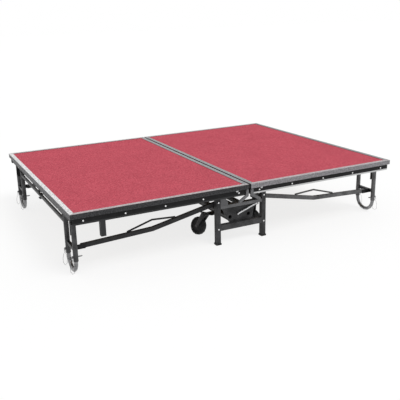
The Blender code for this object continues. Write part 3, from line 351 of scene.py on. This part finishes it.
def zinc_material(name, dark, light):
    """Plated steel with faint cloudy patches."""
    made = Shader(name)
    made.set(metallic=1.0)
    clouds = made.noise(45, 4.0, 0.6)
    made.color(made.ramp(clouds, [(0.3, dark), (0.7, light)]))
    made.roughness(clouds, 0.24, 0.42)
    made.bump(made.noise(1200, 2.0), 0.00005, 0.5)
    return made.material


def plywood_material():
    """Pale plywood with its grain along X."""
    made = Shader("plywood")
    grain = made.noise(22, 5.0, 0.6, (1.0, 9.0, 9.0))
    made.color(made.ramp(grain, [
        (0.3, (0.33, 0.21, 0.11)), (0.55, (0.50, 0.35, 0.20)), (0.8, (0.60, 0.45, 0.28))]))
    made.roughness(grain, 0.6, 0.85)
    made.bump(grain, 0.0004, 0.5)
    return made.material


def tyre_material(name, hub, axis):
    """Black tread outside, dark grey wheel inside, by the distance from the axle."""
    made = Shader(name)
    made.set(specular_ior_level=0.35)
    from_axle = made.vector("CROSS_PRODUCT", made.vector("SUBTRACT", made.place, hub), axis)
    radius = made.math("DIVIDE", made.vector("LENGTH", from_axle), WHEEL_RADIUS)
    rings = made.ramp(radius, [
        (0.0, (0.06, 0.06, 0.062)), (0.34, (0.04, 0.04, 0.041)), (0.36, (0.030, 0.030, 0.031)),
        (0.68, (0.03, 0.03, 0.032)), (0.71, (0.012, 0.012, 0.012)), (1.0, (0.02, 0.02, 0.02))])
    dust = made.ramp(made.noise(40, 4.0), [(0.3, (0.75,) * 3), (0.7, (1.0,) * 3)])
    made.color(made.product(rings, dust))
    made.roughness(made.noise(90), 0.5, 0.8)
    made.bump(made.noise(700), 0.0002, 0.5)
    return made.material


def set_material(piece, material):
    """Give every slot of a piece the same material."""
    if not piece.material_slots:
        piece.data.materials.append(material)
    for slot in piece.material_slots:
        slot.material = material


def make_camera():
    """The photograph's camera, from its direction, roll, lens and shift."""
    level = math.cos(CAMERA_ELEVATION)
    forward = Vector((math.sin(CAMERA_AZIMUTH) * level, math.cos(CAMERA_AZIMUTH) * level,
                      -math.sin(CAMERA_ELEVATION)))
    right = forward.cross(Vector((0, 0, 1))).normalized()
    up = right.cross(forward)
    rolled_right = right * math.cos(CAMERA_ROLL) + up * math.sin(CAMERA_ROLL)
    rolled_up = up * math.cos(CAMERA_ROLL) - right * math.sin(CAMERA_ROLL)
    data = bpy.data.cameras.new("camera")
    data.sensor_width = SENSOR_WIDTH
    data.sensor_fit = "HORIZONTAL"
    data.lens = CAMERA_LENS
    data.shift_x, data.shift_y = CAMERA_SHIFT
    data.clip_end = CAMERA_REACH
    camera = bpy.data.objects.new("camera", data)
    turn = Matrix((rolled_right, rolled_up, -forward)).transposed().to_4x4()
    camera.matrix_world = Matrix.Translation(CAMERA_PLACE) @ turn
    bpy.context.collection.objects.link(camera)
    bpy.context.scene.camera = camera


def white_rays(nodes, links):
    """A socket that is 1 for the rays that see the background white."""
    path = nodes.new("ShaderNodeLightPath")
    seen = path.outputs[WHITE_RAYS[0]]
    for ray in WHITE_RAYS[1:]:
        either = nodes.new("ShaderNodeMath")
        either.operation = "MAXIMUM"
        links.new(seen, either.inputs[0])
        links.new(path.outputs[ray], either.inputs[1])
        seen = either.outputs[0]
    return seen


def make_light():
    """A pale sky all round and one soft key light."""
    world = bpy.data.worlds.new("studio")
    world.use_nodes = True
    nodes, links = world.node_tree.nodes, world.node_tree.links
    background = nodes["Background"]
    background.inputs["Color"].default_value = (1.0, 1.0, 1.0, 1.0)
    level = nodes.new("ShaderNodeMapRange")
    level.inputs["To Min"].default_value = SKY_LIGHT
    level.inputs["To Max"].default_value = 1.0
    links.new(white_rays(nodes, links), level.inputs["Value"])
    links.new(level.outputs["Result"], background.inputs["Strength"])
    bpy.context.scene.world = world
    key = bpy.data.lights.new("key", "SUN")
    key.energy = KEY_LIGHT
    key.angle = KEY_ANGLE
    lamp = bpy.data.objects.new("key", key)
    lamp.rotation_euler = Vector(KEY_DIRECTION).to_track_quat("-Z", "Y").to_euler()
    bpy.context.collection.objects.link(lamp)


def make_floor():
    """A wide floor that looks white and keeps the object's shadow."""
    mesh = bpy.data.meshes.new("floor")
    corners = ((-1, -1), (1, -1), (1, 1), (-1, 1))
    mesh.from_pydata([(x * FLOOR_REACH, y * FLOOR_REACH, 0) for x, y in corners], [],
                     [(0, 1, 2, 3)])
    floor = bpy.data.objects.new("floor", mesh)
    bpy.context.collection.objects.link(floor)
    made = Shader("floor")
    made.set(roughness=0.9, specular_ior_level=0.0, emission_color=(1.0, 1.0, 1.0, 1.0))
    seen = white_rays(made.nodes, made.links)
    made.color(made.mix(FLOOR_COLOR, (FLOOR_GREY,) * 3, seen))
    glow = made.math("MULTIPLY", seen, FLOOR_WHITE - FLOOR_GREY)
    made.links.new(glow, made.shader.inputs["Emission Strength"])
    mesh.materials.append(made.material)


def link_piece(name, bm, material, body):
    """Make a piece from a mesh and let it ride on a body."""
    mesh = bpy.data.meshes.new(name)
    bm.to_mesh(mesh)
    bm.free()
    mesh.shade_smooth()
    mesh.set_sharp_from_angle(angle=SMOOTH_ANGLE)
    mesh.materials.append(material)
    piece = bpy.data.objects.new(name, mesh)
    bpy.context.collection.objects.link(piece)
    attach(piece, body)
    return piece


def make_carpet(side, material):
    """The carpet of one half: a thin sheet, lightly uneven, in the CAD carpet's place."""
    node = side + "_carpet"
    low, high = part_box(node)
    length, width, thickness = (high[i] - low[i] for i in range(3))
    columns, rows = round(length / CARPET_PATCH), round(width / CARPET_PATCH)
    bm = bmesh.new()
    bmesh.ops.create_grid(bm, x_segments=columns, y_segments=rows, size=0.5)
    for vert in bm.verts:
        x, y = vert.co.x * length, vert.co.y * width
        swell = (PILE_SWELL * math.sin(SWELL_WAVES[0] * x + SWELL_STARTS[0])
                 * math.sin(SWELL_WAVES[1] * y + SWELL_STARTS[1]))
        vert.co = Vector((x + (low[0] + high[0]) / 2, y + (low[1] + high[1]) / 2,
                          high[2] - thickness * PILE_SINK * (1 + swell)))
    bottom = bmesh.ops.extrude_face_region(bm, geom=list(bm.faces))
    for element in bottom["geom"]:
        if isinstance(element, bmesh.types.BMVert):
            element.co.z = low[2]
    bmesh.ops.recalc_face_normals(bm, faces=bm.faces)
    piece = link_piece(side + "_carpet_sheet", bm, material, side + "_deck")
    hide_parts(node)


make_camera()
make_light()
make_floor()

carpet = carpet_material()
# One aluminium in five places. Each place has its own face and flange colours, set lighter or
# darker by how light falls there. These are painted light and shade, such as the near-white
# painted highlight on the left end's flange and the painted shade on the left side's face.
trims_painted_light = {
    place: trim_material(place + "_aluminium", across, face_painted_light, flange_painted_light)
    for place, across, face_painted_light, flange_painted_light in (
        ("left_side", "Y", (0.062, 0.062, 0.065), (0.56, 0.50, 0.51)),
        ("right_side", "Y", (0.31, 0.30, 0.315), (0.55, 0.50, 0.51)),
        ("left_end", "X", (0.10, 0.10, 0.105), (0.90, 0.90, 0.90)),
        ("right_end", "X", (0.16, 0.16, 0.165), (0.30, 0.30, 0.31)),
        ("fold", "X", (0.10, 0.10, 0.105), (0.36, 0.36, 0.37)))
}
black = paint_material("black_paint", (0.012, 0.012, 0.013), (0.035, 0.035, 0.037))
rail_dark, rail_light = (0.006, 0.006, 0.0065), (0.015, 0.015, 0.016)
# The rails' lip colours are painted highlights along their lower edges: faint on the left, bright
# on the right.
left_rail = screwed_material(
    "left_rail_paint", deck_heads, rail_dark, rail_light, (0.035, 0.035, 0.036))
right_rail_lip_highlight = screwed_material(
    "right_rail_paint_lip_highlight", deck_heads, rail_dark, rail_light, (0.58, 0.58, 0.585))
frame_paint = screwed_material(
    "frame_paint", frame_heads, (0.030, 0.030, 0.031), (0.085, 0.085, 0.088))
grey = paint_material(
    "grey_paint", (0.11, 0.11, 0.115), (0.18, 0.18, 0.185), (0.35, 0.5), 0.4)
zinc = zinc_material("zinc_plate", (0.42, 0.42, 0.43), (0.66, 0.66, 0.66))
dull_zinc = zinc_material("dull_zinc", (0.10, 0.10, 0.105), (0.34, 0.34, 0.345))
wire_zinc = zinc_material("wire_zinc", (0.07, 0.07, 0.072), (0.20, 0.20, 0.205))
fork_paint = paint_material(
    "fork_paint", (0.035, 0.035, 0.036), (0.13, 0.13, 0.135), (0.3, 0.5), 0.5)
# A grey in place of the left links' black paint on the right links: painted light on the right
# half.
worn = paint_material(
    "worn_paint", (0.075, 0.075, 0.077), (0.19, 0.19, 0.195), (0.35, 0.5), 0.3)
# One leg paint in two shades: the left legs' darker copy is painted shade, the right legs' lighter
# copy painted light.
left_legs_painted_shade = leg_material("left_leg_paint", (0.030, 0.030, 0.031), (0.100, 0.100, 0.103))
right_legs_painted_light = leg_material("right_leg_paint", (0.080, 0.080, 0.082), (0.20, 0.20, 0.205))
plywood = plywood_material()
plastic = paint_material("black_plastic", (0.010,) * 3, (0.022,) * 3, (0.5, 0.7))

for node, piece in frame["nodes"].items():
    if "carpet" in node:
        continue
    if node.endswith("_caster_wheel"):
        joint = [j for j in frame["record"]["behaviour"]["joints"] if j["child"] == node][0]
        hub, axis = tuple(joint["pos_m"]), tuple(joint["axis"])
        set_material(piece, tyre_material(node + "_rubber", hub, axis))
    elif "fold_trim" in node:
        set_material(piece, trims_painted_light["fold"])
    elif "trim" in node:
        set_material(piece, trims_painted_light[node.split("_")[0] + "_" + node.split("_")[-2]])
    elif "board" in node:
        set_material(piece, plywood)
    elif "foot" in node:
        set_material(piece, plastic)
    elif "fold_arm" in node or "upper_crossbar" in node:
        set_material(piece, grey)
    elif "fork" in node:
        set_material(piece, fork_paint)
    elif "extension" in node:
        set_material(piece, dull_zinc)
    elif node.endswith("_pin"):
        set_material(piece, wire_zinc)
    elif "bolt" in node or "brace" in node:
        set_material(piece, zinc)
    elif "leg_frame" in node:
        set_material(piece, left_legs_painted_shade if node.startswith("left") else right_legs_painted_light)
    # right links: painted light, a grey in place of their black paint
    elif node.startswith("right") and "link" in node:
        set_material(piece, worn)
    elif "deck_frame" in node:
        set_material(piece, left_rail if node.startswith("left") else right_rail_lip_highlight)
    elif node == "center_frame":
        set_material(piece, frame_paint)
    else:
        set_material(piece, black)

for side in SIDES:
    make_carpet(side, carpet)

bpy.context.scene.view_settings.view_transform = "Standard"
